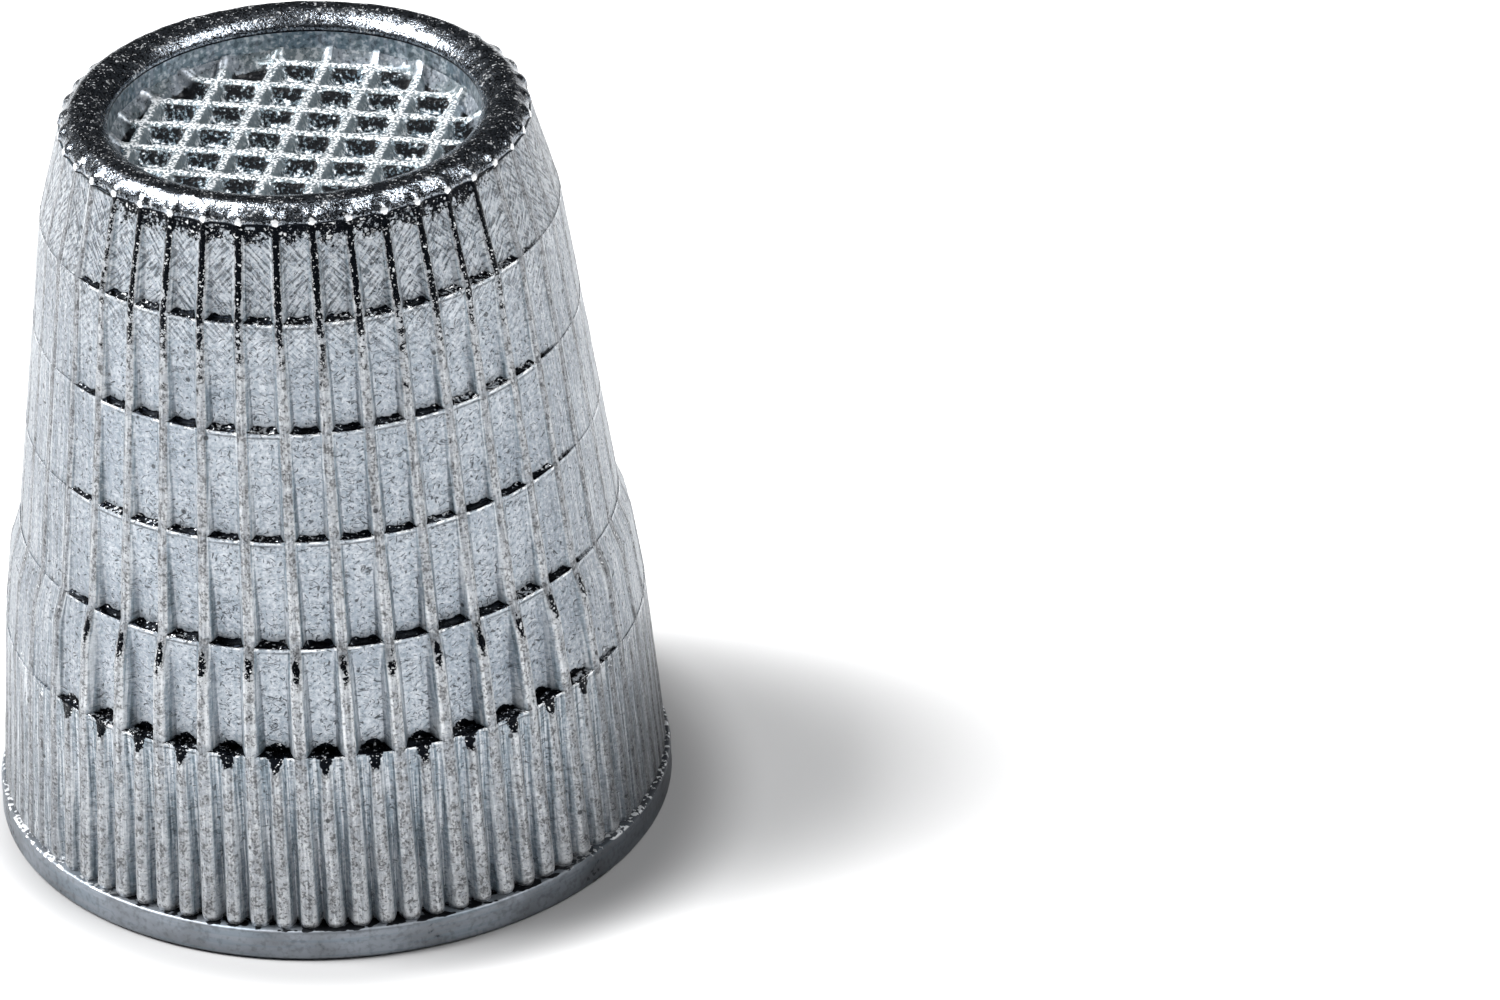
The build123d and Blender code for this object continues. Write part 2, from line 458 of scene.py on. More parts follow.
def build_skirt(casting, materials):
    """Skirt of main and second ribs above the band."""
    s = casting.s
    low, high = casting.band_top, casting.skirt_top
    points = [
        (casting.cavity(low), low, 0),
        (casting.cavity(high), high, 0),
        (casting.rib(high) - s.ledge_depths[0] - 0.1 * MM, high, 0),
        (casting.valley(high), high, 1),
        (casting.valley(high - s.nose_length), high - s.nose_length, 1),
        (casting.valley(low + s.foot_round_off), low + s.foot_round_off, 1),
        (casting.valley(low), low, 1),
    ]
    bm, outer, verts = start_wire(points)
    round_corners(bm, [verts[3]], s.lip_round)

    def longest(edge):
        first, second = edge.verts
        if first[outer] + second[outer] < 1.5:
            return 2 * MM
        if max(first.co.z, second.co.z) > high - s.nose_length / 2:
            return 0.09 * MM
        if min(first.co.z, second.co.z) < low + s.foot_round_off / 2:
            return 0.06 * MM
        return 0.3 * MM

    divide(bm, longest)
    turn_round(bm, casting, SKIRT_COLUMNS)
    marks = Marks(bm, "crest flank pit valley fall rise joint")
    for vert in bm.verts:
        if vert[outer] < 0.5:
            continue
        z = vert.co.z
        radius = hypot(vert.co.x, vert.co.y)
        rib, place = casting.rib_place(vert.co)
        second = abs(place) > 0.5
        side = 1 if place > 0 else -1
        across = (1 - abs(place) if second else abs(place)) * 2
        crest = casting.crest(z) * (s.second_rib if second else 1)
        top = casting.rib(z) - s.rib_crown * 0.3
        swell = 1 - smooth(high - s.nose_length, high, z) if second else 1
        end = smooth(low - s.foot_round_off, low + s.foot_round_off, z)
        top -= (1 - end) * s.foot_fall
        joint = casting.joint(vert.co)
        radius = top - (top - radius) * (1 - s.joint_fill * joint)
        depth = max(top - radius, 0) * swell
        flank = s.rib_edge + depth * tan(s.rib_flank) * 1.5
        quarter = casting.pitch / 4 * casting.rib(z)
        stops = ((0, 0), (0.25, crest), (0.75, crest + flank), (1, quarter))
        x = follow(stops, across)
        height = 1 - smooth(crest, crest + flank, x)
        round_off = s.rib_crown * min(x / crest, 1) ** 2
        wander = grain(Vector((rib * 3.1 + second, 0, z)), 1.5 * MM, 5) * s.rib_stray
        lift = depth * height - round_off * height * swell
        from_rib = (quarter * 2 - x if second else x) * side + wander * height
        turn = s.first_rib + rib * casting.pitch + from_rib / casting.rib(z)
        place_at(vert, turn, radius + max(lift, 0), z)
        marks.put(
            vert,
            crest=smooth(0.7, 0.98, height) * swell,
            flank=smooth(0, 0.5, height) * (1 - smooth(0.7, 1, height)) * swell,
            fall=(high - z) / MM,
            rise=(z + high) / MM,
            valley=1 - smooth(0, 0.6, height * swell),
            # the valleys' feet at the band, where the finish paints shade and glints
            pit=(1 - smooth(low, low + 0.3 * MM, z)) * (1 - height),
            joint=joint,
        )
        if low < z < high:
            wobble(casting, vert)
    return finish_piece(bm, "cast_skirt", "ribbed_skirt", materials)


def build_wall(casting, materials):
    """Wall of ribs and stepped courses of panels."""
    s = casting.s
    low, seat, under = casting.skirt_top, casting.rim_seat, casting.plate_underside
    points = [
        (casting.cavity(low), low, 0),
        (casting.cavity(under), under, 0),
        (casting.recess_radius, under, 0),
        (casting.recess_radius, seat, 0),
    ]
    near = 0.12 * MM
    for (top_radius, top), (foot_radius, foot) in casting.panels():
        lean = (foot_radius - top_radius) / (top - foot)
        points.append((top_radius, top, 1))
        points.append((top_radius + near * lean, top - near, 1))
        points.append((foot_radius - near * lean, foot + near, 1))
        points.append((foot_radius, foot, 1))
    bm, outer, verts = start_wire(points)
    lips, feet = verts[8::4], verts[7:-1:4]      # all but the topmost lip and the lowest foot
    round_corners(bm, [verts[1]], s.dome_round, 4)
    round_corners(bm, lips, s.lip_round)
    round_corners(bm, feet, s.foot_round)

    def longest(edge):
        first, second = edge.verts
        if first[outer] + second[outer] < 1.5:
            return 2.2 * MM
        if abs(first.co.z - second.co.z) < 0.02 * MM:
            return 0.08 * MM
        return 0.42 * MM

    divide(bm, longest)
    turn_round(bm, casting, WALL_COLUMNS)
    marks = Marks(bm, "crest flank margin fall rise joint")
    tops = casting.ledges[1:] + [seat]
    for vert in bm.verts:
        if vert[outer] < 0.5:
            continue
        z = vert.co.z
        radius = hypot(vert.co.x, vert.co.y)
        rib, place = casting.rib_place(vert.co)
        side = 1 if place > 0 else -1
        rib_radius = casting.rib(z)
        joint = casting.joint(vert.co)
        radius = rib_radius - (rib_radius - radius) * (1 - s.joint_fill * joint)
        depth = max(rib_radius - radius, 0)
        crest = casting.crest(z)
        flank = s.rib_edge + depth * tan(s.rib_flank)
        half = casting.pitch / 2 * rib_radius
        root = crest + flank
        stops = ((0, 0), (0.2, crest), (0.6, root), (0.7, root + 0.04 * MM), (1, half))
        x = follow(stops, abs(place))
        slope = min(max((x - crest) / flank, 0), 1)      # 0 on the crest, 1 at the root
        height = 1 - 0.5 * slope - 0.5 * smooth(0, 1, slope)
        round_off = min(s.rib_crown, depth * 0.9) * min(x / crest, 1) ** 2 * height
        ledge = min(casting.ledges, key=lambda level: abs(level - z))
        panel = rib + (side - 1) / 2
        near = 1 - smooth(0, 0.9 * MM, abs(z - ledge))
        drift = grain(Vector((panel * 1.7, ledge / MM, 0.5)), 1) * s.ledge_drift * near
        flare = smooth(0.5, 1, slope) * (1 - smooth(crest + flank, crest + flank * 2, x))
        lift = s.ledge_flare * flare * (depth > s.lip_inset * 2) * near * (z > low + JUST_OFF)
        wander = grain(Vector((rib * 2.3, 0, z)), 1.7 * MM, 5) * s.rib_stray
        turn = s.first_rib + rib * casting.pitch + (x * side + wander * height) / rib_radius
        new_z = z + drift * (1 - height) * (low + JUST_OFF < z < seat - JUST_OFF) + lift
        place_at(vert, turn, radius + depth * height - round_off, new_z)
        marks.put(
            vert,
            crest=smooth(0.7, 0.98, height),
            flank=smooth(0, 0.4, height) * (1 - smooth(0.75, 1, height)),
            margin=abs(abs(place) - 0.8) < 0.04,
            fall=min(level - z for level in tops if level - z > -WELD) / MM,
            rise=min(z - level for level in casting.ledges if z - level > -WELD) / MM,
            joint=joint,
        )
        if low < z < seat:
            wobble(casting, vert)
    bmesh.ops.remove_doubles(bm, verts=bm.verts, dist=WELD)

    def hidden(face):
        return sum(vert[outer] for vert in face.verts) < 3.5

    return finish_piece(bm, "cast_wall", "stepped_wall", materials, hidden)


def build_rim(casting, materials):
    """Rolled rim, with the ribs' ends standing out of its outer edge."""
    s = casting.s
    seat, top = casting.rim_seat, casting.rim_top
    rise = top - seat
    edge, inner = casting.rim_radius, casting.recess_radius
    points = [
        (inner, seat, 0),
        (inner, seat + rise * 0.30, 0),
        (inner + s.rim_width * 0.16, seat + rise * 0.68, 0),
        (inner + s.rim_width * 0.38, seat + rise * 0.90, 0),
        (inner + s.rim_width * 0.57, top - 0.04 * MM, 0),
        (inner + s.rim_width * 0.70, seat + rise * 0.90, 0),
        (inner + s.rim_width * 0.93, seat + rise * 0.48, 1),
        (edge - 0.01 * MM, seat + rise * 0.22, 1),
        (edge, seat, 1),
    ]
    bm, outer, verts = start_wire(points)
    round_corners(bm, verts[1:-1], s.rim_round)
    divide(bm, lambda e: 0.12 * MM)
    turn_round(bm, casting, RIM_COLUMNS)
    marks = Marks(bm, "outside")
    for vert in bm.verts:
        radius = hypot(vert.co.x, vert.co.y)
        rib, place = casting.rib_place(vert.co)
        share = smooth(edge - 0.35 * MM, edge - 0.1 * MM, radius)
        marks.put(vert, outside=share)
        bump = 1 - smooth(0.1, 0.6, abs(place))
        uneven = 1 + 0.5 * grain(Vector((rib * 1.9, 0, 0)), 1)
        shift = (bump * uneven * s.rim_bump - s.lip_inset) * share
        z = vert.co.z + bump * share * 0.02 * MM * (vert.co.z > seat + 0.05 * MM)
        turn = atan2(vert.co.y, vert.co.x)
        place_at(vert, turn, radius + shift, min(z, top))
        if z > seat:
            lump = grain(vert.co, 0.5 * MM, 3) * 0.6 + grain(vert.co, 0.25 * MM, 4) * 0.4
            vert.co.z += (lump - 0.6) * s.rim_grain * smooth(seat, seat + 0.2 * MM, z)
    return finish_piece(bm, "cast_rim", "crown_rim", materials)


def build_plate(casting, materials):
    """Waffle plate that closes the crown, with a hollow curve up to the rim."""
    s = casting.s
    bm = bmesh.new()
    radius = casting.recess_radius
    cell = s.grid_pitch / PLATE_CELLS
    lines = ceil(radius / cell) + 1
    bmesh.ops.create_grid(bm, x_segments=2 * lines, y_segments=2 * lines, size=lines * cell)
    for side in range(PLATE_SIDES):
        turn = 2 * pi * side / PLATE_SIDES
        out = Vector((cos(turn), sin(turn), 0))
        sheet = bm.verts[:] + bm.edges[:] + bm.faces[:]
        bmesh.ops.bisect_plane(
            bm, geom=sheet, dist=WELD, plane_co=out * radius, plane_no=out, clear_outer=True
        )
    marks = Marks(bm, "ridge_gap pit far_face smooth_face fillet")
    floor = casting.plate_top - s.pocket_depth
    hollow = s.recess_fillet
    rim_side = [e for e in bm.edges if e.is_boundary]
    for vert in bm.verts:
        x, y = vert.co.x, vert.co.y
        reach = hypot(x, y)
        heights = []
        offsets = []
        for place, shift in ((x, s.grid_across), (y, s.grid_along)):
            offset = (place - shift + s.grid_pitch / 2) % s.grid_pitch - s.grid_pitch / 2
            edge = s.grid_ridge / 2
            heights.append(1 - smooth(edge, edge + s.grid_slope, abs(offset)))
            offsets.append(offset)
        ridge = max(heights)
        inside = radius - reach
        curve = 0
        if inside < hollow:
            curve = (1 - max(inside, 0) / hollow) ** 2 * (casting.rim_seat - floor) * 0.55
        ends = heights[0] * smooth(0.5, 0.8, abs(y) / reach) if reach else 0
        ends = max(ends, heights[1] * smooth(0.5, 0.8, abs(x) / reach) if reach else 0)
        climb = ends * (1 - smooth(0, hollow * 1.2, inside))
        beads = grain(vert.co, 0.17 * MM, 6) * s.ridge_beads * ridge
        top = floor + s.pocket_depth * ridge + climb * s.ridge_climb + beads
        base = floor + curve
        vert.co.z = max(top, base) + grain(vert.co, 0.5 * MM, 7) * 0.015 * MM
        foot = smooth(hollow * 0.3, hollow * 0.8, inside)
        marks.put(
            vert,
            ridge_gap=min(abs(offset) for offset in offsets) / MM,
            fillet=1 - smooth(hollow * 0.6, hollow * 1.1, inside),
            # pockets at the foot of the recess wall, where the finish paints shade
            pit=foot * (1 - smooth(hollow, hollow * 2.2, inside)) * (1 - ridge),
            # the next two marks pick one side of each ridge, where the finish paints shade
            far_face=smooth(0.02, 0.3, heights[1]) * (1 - heights[0]) * (offsets[1] < 0),
            smooth_face=smooth(0.1, 0.5, heights[0]) * (1 - heights[1]) * (offsets[0] > 0),
        )
    bmesh.ops.rotate(
        bm, verts=bm.verts, cent=ORIGIN, matrix=Matrix.Rotation(s.grid_turn, 3, "Z")
    )
    skirt = bmesh.ops.extrude_edge_only(bm, edges=rim_side)["geom"]
    low_edges = [g for g in skirt if isinstance(g, bmesh.types.BMEdge) and g.is_boundary]
    for vert in {v for e in low_edges for v in e.verts}:
        vert.co.z = casting.plate_underside
    bmesh.ops.contextual_create(bm, geom=low_edges)

    def hidden(face):
        return face.normal.z < -0.5

    return finish_piece(
        bm, "cast_waffle", "crown_plate", materials, hidden, 0.35, 50
    )


# ---- the finishes


class Value:
    """A shader socket that Python's own operators work on."""

    def __init__(self, paint, socket):
        self.paint = paint
        self.socket = socket

    def maths(self, operation, first, second):
        settings = {"operation": operation}
        return self.paint.node("ShaderNodeMath", settings, {0: first, 1: second})

    def __add__(self, other):
        return self.maths("ADD", self, other)

    __radd__ = __add__

    def __mul__(self, other):
        return self.maths("MULTIPLY", self, other)

    __rmul__ = __mul__

    def __sub__(self, other):
        return self.maths("SUBTRACT", self, other)

    def __rsub__(self, other):
        return self.maths("SUBTRACT", other, self)

    def over(self, other):
        """The larger of two values."""
        return self.maths("MAXIMUM", self, other)

    def to_nearest(self, other):
        """Distance from the nearest multiple of other."""
        return self.maths("PINGPONG", self, other / 2)

    def length(self, other):
        """Length of the slope whose sides are two values."""
        sides = self.paint.node("ShaderNodeCombineXYZ", None, {0: self, 1: other})
        return self.paint.node("ShaderNodeVectorMath", {"operation": "LENGTH"}, {0: sides}, "Value")


class Paint:
    """The nodes of a material, or of the world."""

    def __init__(self, owner, shader="Principled BSDF"):
        self.owner = owner
        owner.use_nodes = True
        self.tree = owner.node_tree
        self.shader = self.tree.nodes[shader]

    @cached_property
    def places(self):
        """Coordinates in the thimble, in metres."""
        return self.node("ShaderNodeTexCoord", output="Object")

    @cached_property
    def flat(self):
        """Coordinates round and up the thimble, in millimetres."""
        return self.node("ShaderNodeUVMap", {"uv_map": FLAT_MAP})

    def feed(self, socket, value):
        """Links a value to a socket, or sets it."""
        if isinstance(value, Value):
            self.tree.links.new(value.socket, socket)
        elif hasattr(socket.default_value, "__len__") and len(socket.default_value) == 4:
            socket.default_value = (*value, 1)
        else:
            socket.default_value = value

    def node(self, kind, settings=None, inputs=None, output=0):
        """Adds a node: its settings first, then its sockets; gives back one output."""
        node = self.tree.nodes.new(kind)
        for name, value in (settings or {}).items():
            setattr(node, name, value)
        for key, value in (inputs or {}).items():
            self.feed(node.inputs[key], value)
        return Value(self, node.outputs[output])

    def mark(self, name):
        """A mark that the mesh carries."""
        return self.node("ShaderNodeAttribute", {"attribute_name": name}, output="Fac")

    def part(self, vector, index):
        """One coordinate of a vector."""
        return self.node("ShaderNodeSeparateXYZ", None, {0: vector}, index)

    def place(self, index):
        """One coordinate in the thimble, in mm."""
        return self.part(self.places, index) * (1 / MM)

    def rib_places(self, casting):
        """Height, and distance round the thimble from the nearest main and second rib, in mm."""
        height = self.place(2)
        around = self.part(self.flat, 0)
        pitch = casting.pitch * FLAT_RADIUS
        turned = around - casting.s.first_rib * FLAT_RADIUS + pitch * 100
        return height, turned.to_nearest(pitch), (turned + pitch / 2).to_nearest(pitch)

    def handled(self, start):
        """Painted shade, from start in mm out, on the right side's foot, where it would mirror the
        shadowed floor.
        """
        return self.ramp(self.place(0), start, 10) * self.fade(self.place(2), 1, 8)

    def noise(self, scale, detail, rough=0.5, twist=0.0, vector=None):
        """Soft noise round 0.5."""
        inputs = {"Vector": vector or self.places, "Scale": scale, "Detail": detail}
        inputs.update(Roughness=rough, Distortion=twist)
        return self.node("ShaderNodeTexNoise", None, inputs)

    def strokes(self, across, up, detail, rough=0.5, twist=0.0, turn=0.0, scale=1.0):
        """Soft noise round 0.5, narrower the larger across is, and lower the larger up is."""
        size = (1 / across, 1 / up, 1)
        inputs = {"Vector": self.flat, "Scale": size, "Rotation": (0, 0, turn)}
        vector = self.node("ShaderNodeMapping", {"vector_type": "TEXTURE"}, inputs)
        return self.noise(scale, detail, rough, twist, vector)

    def ramp(self, value, low, high, start=0.0, end=1.0):
        """Start below low, end above high, and a soft S between them."""
        inputs = {0: value, 1: low, 2: high, 3: start, 4: end}
        return self.node("ShaderNodeMapRange", {"interpolation_type": "SMOOTHSTEP"}, inputs)

    def fade(self, value, low, high, start=1.0):
        """Start below low, 0 above high, and a soft S between them."""
        return self.ramp(value, low, high, start, 0.0)

    def blend(self, share, first, second):
        """Mixes two colours."""
        return self.node("ShaderNodeMix", {"data_type": "RGBA"}, {0: share, 6: first, 7: second}, 2)

    def coats(self, tone, *coats):
        """Lays coats, each a share and a colour, over a tone."""
        for share, colour in coats:
            tone = self.blend(share, tone, colour)
        return tone

    def specks(self, vector, scale, size, share):
        """Round specks: size against their cell, and the share of cells that hold one."""
        cell = {"Vector": vector, "Scale": scale}
        near = self.node("ShaderNodeTexVoronoi", None, cell, "Distance")
        tint = self.node("ShaderNodeTexVoronoi", None, cell, "Color")
        draw = self.node("ShaderNodeSeparateColor", None, {0: tint}, 0)
        return self.fade(near, size * 0.6, size) * self.fade(draw, share - 0.01, share + 0.01)

    def bump(self, height, distance):
        """Raises the surface by height times distance."""
        return self.node("ShaderNodeBump", None, {"Height": height, "Distance": distance})

    def apply(self, **sockets):
        """Feeds the shader's sockets, given by name with _ for a space."""
        for name, value in sockets.items():
            self.feed(self.shader.inputs[name.replace("_", " ")], value)
        return self.owner


def wall_metal(finish, casting):
    """Pale speckled zinc of the ribs, panels and ledges, with painted glints and painted shade."""
    paint = Paint(bpy.data.materials.new("wall_metal"))
    ramp, fade = paint.ramp, paint.fade
    names = ("crest", "flank", "worn", "up", "pit", "margin", "fall", "valley", "rise", "joint")
    crest, flank, worn, up, pit, margin, fall, valley, rise, joint = map(paint.mark, names)
    height, from_main, from_second = paint.rib_places(casting)

    cloud = paint.noise(420, 3)
    fine = paint.noise(9000, 2, 0.6)
    coarse = paint.noise(3600, 3, 0.6)
    pepper = paint.noise(13000, 1)
    streak = paint.strokes(14, 0.4, 3)
    ripple = paint.strokes(0.9, 5, 4, 0.6, 0.8)
    grit = (fine - 0.5) * 1.5 + (coarse - 0.5) * 1.6

    sides = flank.over(valley)
    drawn = sides.over(crest * 0.55).over(joint * 0.6)
    streaked = ramp(streak, 0.45, 0.6)
    blue = (flank * (0.2 + streaked * 0.6)).over(valley * (0.1 + streaked * 0.7))
    mottle = crest * (0.6 + ramp(coarse, 0.45, 0.6) * 0.4)
    tone = paint.coats(
        finish.zinc,
        (ramp(cloud, 0.3, 0.7) * 0.15, finish.bright),
        (ramp(ripple, 0.5, 0.7) * 0.25, finish.cool),
        (ramp(fine, 0.45, 0.7) * 0.3, finish.cool),
        (mottle * 0.9, finish.warm),
        (blue, finish.cool),
        (joint * 0.45, finish.dull),
        (ramp(streak, 0.56, 0.61) * drawn * 0.4, finish.patina),
        (ramp(streak, 0.46, 0.41) * drawn * 0.3, finish.bright),
        (ramp(fine, 0.55, 0.62) * 0.16, finish.patina),
        (ramp(fine, 0.44, 0.38) * 0.16, finish.bright),
        (margin * 0.2, finish.cool),
        (fade(height, 2, 6.5, 0.2), finish.patina),
        # painted shade low on the right side
        (paint.handled(5.5) * 0.6, finish.patina),
    )

    # painted highlights on the lips and the outward edges, and the dark line under each lip
    lip = fade(fall, 0.07, 0.12) * fade(height, 21.9, 22)
    inside = ramp(fall, 0.1, 0.3) * ramp(rise, 0.1, 0.3)
    broken_lip = lip * 0.9 * (1 - crest) * ramp(coarse, 0.46, 0.58)
    glint = (ramp(worn, 0.15, 0.6) * inside * 0.4).over(broken_lip)
    glint = glint * fade(joint, 0.4, 0.9)
    under_lip = ramp(fall, 0.12, 0.14) * fade(fall, 0.17, 0.19)

    # cracks, chips and pits
    crack = paint.strokes(1.0, 2.6, 3, twist=1.2, scale=1.6) - 0.5
    crack = paint.node("ShaderNodeMath", {"operation": "ABSOLUTE"}, {0: crack})
    cracks = fade(crack, 0.0, 0.03) * ramp(coarse, 0.5, 0.56)
    chips = 0
    for turn, across, along in ((0.5, 4, 14), (-0.6, 5, 13), (1.3, 5, 12)):
        chip = paint.strokes(across, along, 1, 0.5, 0.5, turn)
        chips = ramp(chip, 0.67, 0.72).over(chips)
    pits = paint.specks(paint.places, 2600, 0.24, 0.04)
    crest_pits = crest * ramp((pepper - 0.5) * 1.5 + (coarse - 0.5), 0.06, 0.22)
    marks = (chips * (1 - flank.over(crest * 0.7)) * 0.75).over(pits * 0.8)
    marks = marks.over(crest_pits * 0.55)
    lines = (cracks * 0.6).over(under_lip * 0.55 * ramp(cloud, 0.4, 0.55))
    lines = lines * (1 - crest) * (1 - joint)

    # crossed scratches on the top course
    rising = paint.strokes(1.9, 12, 1, 0.5, 0.1, 0.75)
    falling = paint.strokes(1.9, 12, 1, 0.5, 0.1, -0.75)
    top_course = ramp(height, 17, 20.5, 0.12, 1.0) * (1 - crest)
    dark_rising = ramp(cloud, 0.42, 0.52) * ramp(rising, 0.54, 0.62)
    dark_falling = ramp(cloud, 0.58, 0.48) * ramp(falling, 0.54, 0.62)
    scratches = dark_rising.over(dark_falling) * top_course
    pale = ramp(rising, 0.46, 0.38).over(ramp(falling, 0.46, 0.38))
    tone = paint.coats(
        tone,
        (glint, finish.bright),
        (marks.over(lines), finish.patina),
        (scratches * 0.6, finish.patina),
        (pale * top_course * 0.2, finish.bright),
    )

    # painted shade and dark reflections: black spots on the noses, shoulders and arches, where
    # their slopes would mirror the dark surroundings; heights of the spots in millimetres
    nose_height, arch_height, shoulder_height = 6.28, 6.5, 9.16
    tip = from_second * (4.6 + (6.4 - height) * 7)
    nose = tip.length((height - nose_height) * (1 / 0.32))
    shoulder = (from_main * (1 / 0.12)).length((height - shoulder_height) * (1 / 0.45))
    arch = (from_second * (1 / 0.24)).length((height - arch_height) * (1 / 0.22))
    spots = fade(nose, 0.5, 1.5, 1.1).over(fade(shoulder, 0.4, 1.5, 0.95))
    spots = spots.over(fade(arch, 0.8, 1.2, 1.3) * ramp(height, 6.38, 6.44))
    # painted dark reflection along the main ribs' crests on the top course
    line = fade(from_main, 0.06, 0.18, 1.05) * ramp(height, 15.5, 21.8, 0.1, 1.1)
    # painted shade under the rim
    under_rim = ramp(height, 21.2, 22.2) * 0.95
    shaded = spots.over((line * crest).over(under_rim) * fade(joint, 0.0, 0.7))
    # painted shade at the valleys' feet
    shaded = shaded.over(pit * fade(joint, 0.2, 0.9))
    dark = ramp(shaded + grit * 1.15, 0.60, 0.76)
    # painted dark reflection on the up-facing ledges
    ledge = ramp(up + (coarse - 0.5) * 0.5, 0.35, 0.6)
    reach = rise + (coarse - 0.5) * 0.2 - margin * 0.04
    # painted shade at the foot of each panel
    foot = fade(reach, 0.03, 0.06) * (1 - crest) * (1 - flank)
    painted_shade = dark.over(ledge).over(foot) * fade(joint + grit * 0.5, 0.55, 0.95)
    # painted sparkle in the painted shade, and painted glints on the ledges and at the valleys'
    # feet
    spark_glints = ramp(fine * 0.7 + coarse * 0.3, 0.59, 0.64) * ramp(shaded, 0.3, 0.8)
    ledge_glints = ramp(fine * 0.6 + cloud * 0.4, 0.56, 0.60)
    spark_glints = spark_glints.over(ledge_glints * ledge * 0.8).over(ramp(coarse, 0.56, 0.6) * pit)
    tone = paint.coats(tone, (painted_shade, finish.patina), (spark_glints * 0.8, finish.bright))

    relief = fine * 0.5 + coarse * 0.8 - marks * 0.8 - lines * 0.6 - scratches * 0.6
    normal = paint.bump(relief + streak * sides * 1.5, 0.02 * MM)
    rough = 0.38 + 0.12 * coarse - (0.1 * painted_shade).over(lip * 0.2 * (1 - crest))
    metal = (0.75 - 0.3 * sides * (1 - painted_shade)) + 0.25 * painted_shade * (1 - spark_glints)
    return paint.apply(Base_Color=tone, Metallic=metal, Roughness=rough, Normal=normal)


def band_metal(finish, casting):
    """Smooth zinc of the band, with painted shade on its shelf, for the dark it mirrors, that turns
    to painted glitter at the joints.
    """
    paint = Paint(bpy.data.materials.new("band_metal"))
    ramp = paint.ramp
    worn, up = paint.mark("worn"), paint.mark("up")
    cloud = paint.noise(500, 4)
    fine = paint.noise(6000, 2)
    turned = paint.strokes(0.4, 9, 3)
    pits = ramp(fine * 0.4 + cloud * 0.6, 0.61, 0.65)
    lumps = paint.noise(2400, 2)
    # painted dark reflection on the up-facing shelf, in blobs
    shelf = ramp(up + (lumps - 0.5) * 1.8, 0.88, 0.96)
    at_joints = ramp(paint.place(0).length(0), 6.0, 8.5)
    # painted glitter on the shelf near the joints
    glitter = at_joints * ramp(up, 0.4, 0.8)
    glitter = glitter * ramp(fine * 0.7 + lumps * 0.3, 0.52, 0.56)
    tone = paint.coats(
        finish.zinc,
        (0.3 + ramp(cloud, 0.35, 0.65) * 0.6, finish.dull),
        (ramp(turned, 0.5, 0.6) * 0.3, finish.cool),
        (ramp(fine, 0.45, 0.7) * 0.25, finish.patina),
        # painted highlight on the outward edges
        (ramp(worn, 0.3, 0.9) * 0.08, finish.bright),
        ((pits * 0.6).over(shelf * (1 - at_joints)), finish.patina),
        # painted shade on the band's right side
        (paint.handled(3) * 0.65, finish.patina),
        (glitter, finish.bright),
    )
    normal = paint.bump(fine * 0.4 + turned * 0.5 - pits * 0.5, 0.01 * MM)
    return paint.apply(Base_Color=tone, Metallic=0.8, Roughness=0.42 + 0.15 * cloud, Normal=normal)


def rim_metal(finish, casting):
    """The rim's burnished zinc, black-speckled partly as a painted dark reflection, with painted
    sparkle and a painted highlight dot at each rib's end.
    """
    paint = Paint(bpy.data.materials.new("rim_metal"))
    fine = paint.noise(16000, 2, 0.6)
    coarse = paint.noise(2600, 3, 0.6)
    grains = paint.noise(10500, 2, 0.6)
    height, from_main, _ = paint.rib_places(casting)
    # black speckle: grain, and painted for the dark surroundings that the burnished rim mirrors
    black = paint.ramp(fine * 0.7 + grains * 0.3, 0.47, 0.56)
    # painted sparkle highlights
    sparkle = paint.ramp(grains * 0.5 + fine * 0.3 + coarse * 0.3, 0.62, 0.65) * 0.8
    # a painted highlight dot on the outer side at each rib's end
    dot = (from_main * 0.7).length((height - 22.36) * 0.9) + (grains - 0.5) * 0.15
    dots = paint.fade(dot, 0.07, 0.11) * paint.mark("outside")
    # painted shade along the rim's lower edge, where it meets the wall
    low_edge = paint.fade(height, 22.27, 22.33)
    sparkle = (sparkle * (1 - low_edge)).over(dots)
    tone = paint.coats(
        finish.zinc, (black, finish.patina), (low_edge, finish.patina), (sparkle, finish.bright)
    )
    normal = paint.bump(grains + fine * 0.6, 0.015 * MM)
    metal = 1 - sparkle * 0.5
    rough = 0.18 + 0.15 * coarse
    return paint.apply(Base_Color=tone, Metallic=metal, Roughness=rough, Normal=normal)


